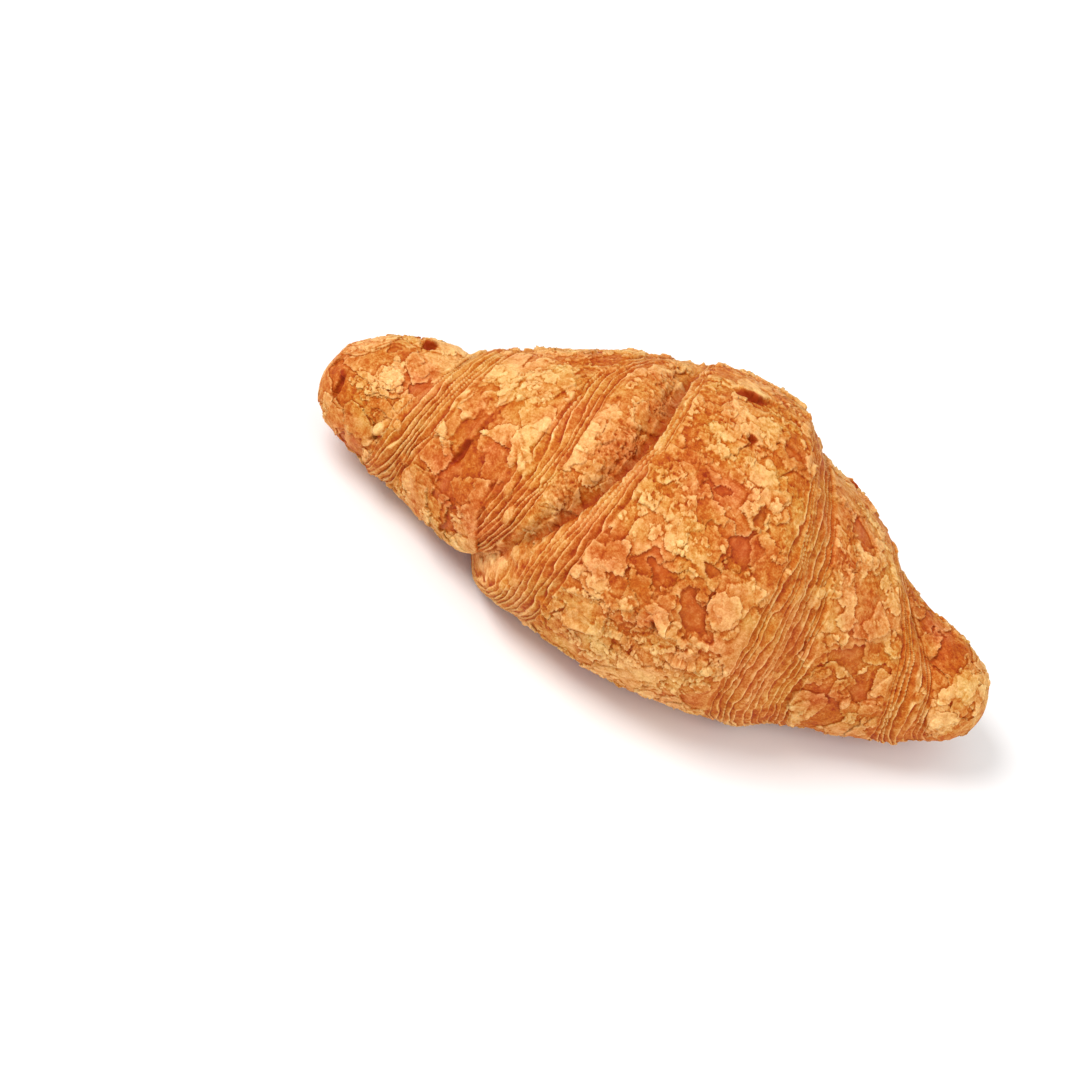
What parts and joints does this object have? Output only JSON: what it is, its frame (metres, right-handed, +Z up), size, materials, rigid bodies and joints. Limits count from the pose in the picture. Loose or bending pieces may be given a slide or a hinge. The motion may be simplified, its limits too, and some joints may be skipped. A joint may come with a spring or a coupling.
{
  "type": "croissant",
  "caption": "Straight butter croissant with a flaky laminated crust, blunt rounded ends and a flat baked underside to rest on.",
  "frame": {"origin": "on the surface the croissant rests on, under the middle of its box", "axes": "+Z up, +X along its length towards the thinner knob, -Y towards the front, where the rolled bands show best"},
  "size_m": [0.162, 0.0752, 0.0615],
  "materials": {
    "crust": "matte"
  },
  "bodies": {
    "root": {"croissant": "crust"}
  },
  "joints": []
}
